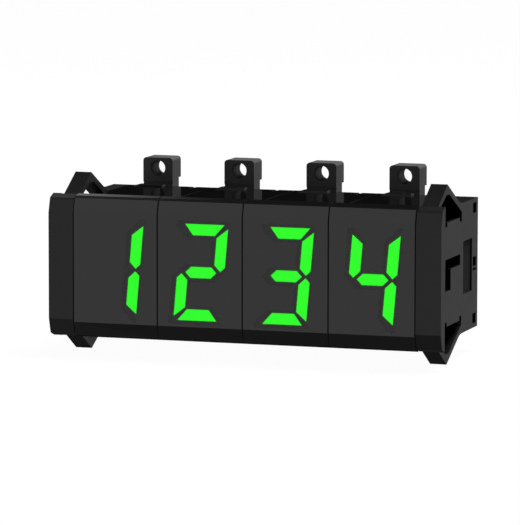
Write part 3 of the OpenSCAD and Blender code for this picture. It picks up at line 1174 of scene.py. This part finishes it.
@dataclass
class SolderJoints:
    """Solder on the bare side of the control boards, hollow-flanked round each pin's end."""

    row: Row
    pins: int = 9
    leads: int = 8
    chip_inset: float = 0.15 * MM
    socket_inset: float = 0.9 * MM
    foot: float = 0.85 * MM
    tip: float = 0.3 * MM
    height: float = 0.8 * MM
    hollow: float = 0.45
    corners: int = 12
    rings: int = 4

    def column(self, depth: float, count: int) -> list[tuple[float, float]]:
        """Returns the depths and heights of count pins on the grid, centred on the board."""
        middle = Span.of("control_board_1", Axis.Z).middle
        return [(depth, middle + (k + 0.5 - count / 2) * GRID) for k in range(count)]

    def places(self) -> list[tuple[float, float]]:
        """Returns where the first module's pins come through its control board.

        Returns:
            Depth and height of each pin, in metres.
        """
        nodes = ("pin_header_1", "resistor_network_1", "driver_chip_1", "rear_socket_1")
        header, network, chip, socket = (Span.of(node, Axis.Y) for node in nodes)
        chip, first_row = chip.within(self.chip_inset), socket.low + self.socket_inset
        found = self.column(header.high - GRID / 2, self.pins)
        found += self.column(network.middle, self.pins)
        for depth in (chip.low, chip.high, first_row, first_row + GRID):
            found += self.column(depth, self.leads)
        return found

    def build(self) -> bpy.types.Object:
        """Builds the joints of every control board.

        Returns:
            One piece that holds them all.
        """
        face = Span.of("control_board_1", Axis.X).low
        seed = bpy.data.meshes.new("pin ends")
        seed.from_pydata([(face, depth, high) for depth, high in self.places()], [], [])
        pattern = Pattern(
            "solder_joints",
            self.row,
            foot=self.foot,
            tip=self.tip,
            height=self.height,
            hollow=self.hollow,
            corners=self.corners,
            rings=self.rings,
        )
        tree = pattern.tree
        cone = tree.add(
            Kind.CONE,
            vertices=pattern.given("Corners"),
            side_segments=pattern.given("Rings"),
            radius_top=pattern.given("Tip"),
            radius_bottom=pattern.given("Foot"),
            depth=pattern.given("Height"),
        )
        x, y, z = tree.add(Kind.SPLIT, tree.add(Kind.POSITION)).node.outputs
        part = tree.add(Kind.DIVIDE, z, pattern.given("Height"))
        # The arch is a quarter at half the height, so four times it draws the flank in by all
        # of the hollow there.
        arch = tree.add(Kind.MULTIPLY, part, tree.rest(part))
        depth = tree.add(Kind.MULTIPLY, pattern.given("Hollow"), 4.0)
        kept = tree.rest(tree.add(Kind.MULTIPLY, arch, depth))
        drawn_x, drawn_y = (tree.add(Kind.MULTIPLY, flat, kept) for flat in (x, y))
        drawn = tree.add(Kind.JOIN, drawn_x, drawn_y, z)
        fillet = tree.add(Kind.REPLACE, cone, position=drawn)
        smooth = tree.add(Kind.SMOOTH, fillet, cone.node.outputs["Side"])
        sideways = tree.add(Kind.TURN, smooth, rotation=(0.0, -QUARTER_TURN, 0.0))
        joints = tree.add(Kind.REPEAT, pattern.given("Geometry"), instance=sideways)
        solder = BrightMetal("Tin solder", "#c9ccd0", "#a9adb2")
        return pattern.piece(seed, joints, solder, Slot.PIN)


# ---- studio --------------------------------------------------------------------------------


@dataclass(frozen=True)
class Lamp:
    """A soft lamp above the display, which glossy surfaces don't mirror."""

    name: str = "overhead"
    place: tuple[float, float, float] = (0.35, 0.35, 1.6)
    side: float = 0.6
    power: float = 360.0

    def build(self) -> None:
        """Hangs the lamp so that it faces the display."""
        data = bpy.data.lights.new(self.name, "AREA")
        data.shape = "RECTANGLE"
        data.size = data.size_y = self.side
        data.energy = self.power
        light = bpy.data.objects.new(self.name, data)
        light.location = self.place
        light.rotation_mode = "QUATERNION"
        light.rotation_quaternion = (-Vector(self.place)).to_track_quat("-Z", "Y")
        light.visible_glossy = False
        light.visible_camera = False
        bpy.context.collection.objects.link(light)


@dataclass(frozen=True)
class Room:
    """The room's soft light, by the direction that it comes from.

    The brightnesses are parts of a plain white room's. The edges, where one brightness passes
    into the next, are parts of the direction along an axis.
    """

    seen: float = 1.0
    front: float = 0.92
    front_foot: float = 0.19
    left_foot: float = 0.75
    ceiling: float = 0.12
    behind: float = 0.28
    screen: float = 0.006
    ground_behind: float = 0.06
    strip: float = 0.8
    behind_y: Span = Span(-0.4, 0.1)
    foot_z: Span = Span(-0.55, -0.35)
    left_foot_x: Span = Span(-0.4, -0.345)
    ceiling_z: Span = Span(0.5, 0.7)
    ground_z: Span = Span(-0.5, -0.3)
    screen_left_x: Span = Span(-0.7, -0.5)
    screen_right_x: Span = Span(-0.05, 0.1)
    strip_left_x: Span = Span(-0.47, -0.42)
    strip_right_x: Span = Span(-0.36, -0.315)
    over_y: Span = Span(0.1, 0.2)
    over_z: Span = Span(0.7, 0.8)
    far_y: Span = Span(0.55, 0.65)
    far_z: Span = Span(0.28, 0.36)

    def ahead(self, tree: Tree, way: tuple[Socket, ...]) -> Socket:
        """Lights the front: pale walls, a dimmer floor and a dark ceiling.

        Args:
            tree: The world's tree.
            way: The direction's parts along the row, to the rear and upwards.

        Returns:
            The brightness in each direction.
        """
        x, _, z = way
        right = tree.add(Kind.STEP, x, self.left_foot_x)
        foot = tree.add(Kind.MIX, right, self.left_foot, self.front_foot)
        wall = tree.add(Kind.MIX, tree.add(Kind.STEP, z, self.foot_z), foot, self.front)
        return tree.add(Kind.MIX, tree.add(Kind.STEP, z, self.ceiling_z), wall, self.ceiling)

    def astern(self, tree: Tree, way: tuple[Socket, ...]) -> Socket:
        """Lights the rear: a grey wall, a black screen before it and a dark floor.

        Args:
            tree: The world's tree.
            way: The direction's parts along the row, to the rear and upwards.

        Returns:
            The brightness in each direction.
        """
        x, _, z = way
        screen = tree.band(x, self.screen_left_x, self.screen_right_x)
        wall = tree.add(Kind.MIX, screen, self.behind, self.screen)
        return tree.add(Kind.MIX, tree.add(Kind.STEP, z, self.ground_z), self.ground_behind, wall)

    def strips(self, tree: Tree, way: tuple[Socket, ...]) -> Socket:
        """Masks the two bright strips that light single caps' top rims.

        Args:
            tree: The world's tree.
            way: The direction's parts along the row, to the rear and upwards.

        Returns:
            1 on the strips, or else 0.
        """
        x, y, z = way
        narrow = tree.band(x, self.strip_left_x, self.strip_right_x)
        near = tree.rest(tree.add(Kind.STEP, y, self.over_y))
        over = tree.every(near, tree.add(Kind.STEP, z, self.over_z))
        back = tree.add(Kind.STEP, y, self.far_y)
        far = tree.every(back, tree.add(Kind.STEP, z, self.far_z))
        return tree.every(narrow, tree.add(Kind.MAXIMUM, over, far))

    def build(self) -> None:
        """Makes the world that lights the display, plain white to the camera."""
        world = bpy.data.worlds.new("room")
        bpy.context.scene.world = world
        world.use_nodes = True
        tree = Tree(world.node_tree)
        outwards = tree.add(Kind.COORDINATES, output="Generated")
        way = tuple(tree.add(Kind.SPLIT, outwards).node.outputs)
        behind = tree.add(Kind.STEP, way[Axis.Y.value], self.behind_y)
        walls = tree.add(Kind.MIX, behind, self.ahead(tree, way), self.astern(tree, way))
        glow = tree.add(Kind.MIX, self.strips(tree, way), walls, self.strip)
        camera_ray = tree.add(Kind.LIGHT_PATH, output="Is Camera Ray")
        strength = tree.add(Kind.MIX, camera_ray, glow, self.seen)
        tree.add(Kind.WORLD, tree.add(Kind.BACKGROUND, "#ffffff", strength))


@dataclass(frozen=True)
class StudioPaper(Finish):
    """White backdrop paper lit from below: bright and even, with hardly a shadow on it."""

    glow: float = 0.97

    def surface(self, tree: Tree) -> Socket:
        """Builds the shader of the paper.

        Args:
            tree: The tree of the material.

        Returns:
            The shader's socket.
        """
        return tree.add(
            Kind.PRINCIPLED,
            base_color="#0a0a0a",
            roughness=0.9,
            specular_ior_level=0.0,
            emission_color="#ffffff",
            emission_strength=self.glow,
        )


@dataclass
class Studio:
    """Pale lit floor, the room's soft light, one lamp and the camera."""

    azimuth: float = 17.869
    elevation: float = 6.963
    roll: float = 0.092
    distance_mm: float = 1179.6
    aim_mm: tuple[float, float, float] = (-4.853, 0.0, -0.99)
    lens_mm: float = 315.17
    sensor_mm: float = 36.0
    clip_end: float = 30.0
    floor_half: float = 9.0

    def camera(self, centre: Vector) -> None:
        """Makes the camera.

        Args:
            centre: The middle of the object's box, in metres.
        """
        turn, tilt = math.radians(self.azimuth), math.radians(self.elevation)
        back = Vector(
            (math.sin(turn) * math.cos(tilt), -math.cos(turn) * math.cos(tilt), math.sin(tilt))
        )
        data = bpy.data.cameras.new("camera")
        data.lens = self.lens_mm
        data.sensor_width = self.sensor_mm
        data.clip_end = self.clip_end
        camera = bpy.data.objects.new("camera", data)
        camera.location = centre + Vector(self.aim_mm) * MM + back * self.distance_mm * MM
        camera.rotation_mode = "QUATERNION"
        aim = (-back).to_track_quat("-Z", "Y")
        camera.rotation_quaternion = Quaternion(back, math.radians(self.roll)) @ aim
        bpy.context.collection.objects.link(camera)
        bpy.context.scene.camera = camera

    def floor(self, level: float) -> None:
        """Makes the floor, a sheet of paper lit from below.

        Args:
            level: Height of the floor, in metres.
        """
        half = self.floor_half
        corners = [(-half, -half), (half, -half), (half, half), (-half, half)]
        mesh = bpy.data.meshes.new("floor")
        mesh.from_pydata([(x, y, level) for x, y in corners], [], [(0, 1, 2, 3)])
        mesh.materials.append(StudioPaper("Studio paper").material())
        floor = bpy.data.objects.new("floor", mesh)
        floor.visible_glossy = False
        floor.visible_diffuse = False
        bpy.context.collection.objects.link(floor)
        floor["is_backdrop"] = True

    def build(self) -> None:
        """Makes the whole studio around the object's box."""
        low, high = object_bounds()
        self.camera((low + high) / 2)
        self.floor(low.z)
        Room().build()
        Lamp().build()
        bpy.context.scene.view_settings.view_transform = "Standard"
        log.info("studio ready")


def main() -> None:
    """Builds the display and its studio."""
    logging.basicConfig(level=logging.INFO, format="%(message)s")
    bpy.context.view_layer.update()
    row = Row.read()
    FrameDresser(Wardrobe(row)).dress()
    SocketContacts(row).build()
    SolderJoints(row).build()
    Studio().build()


if __name__ == "__main__":
    main()
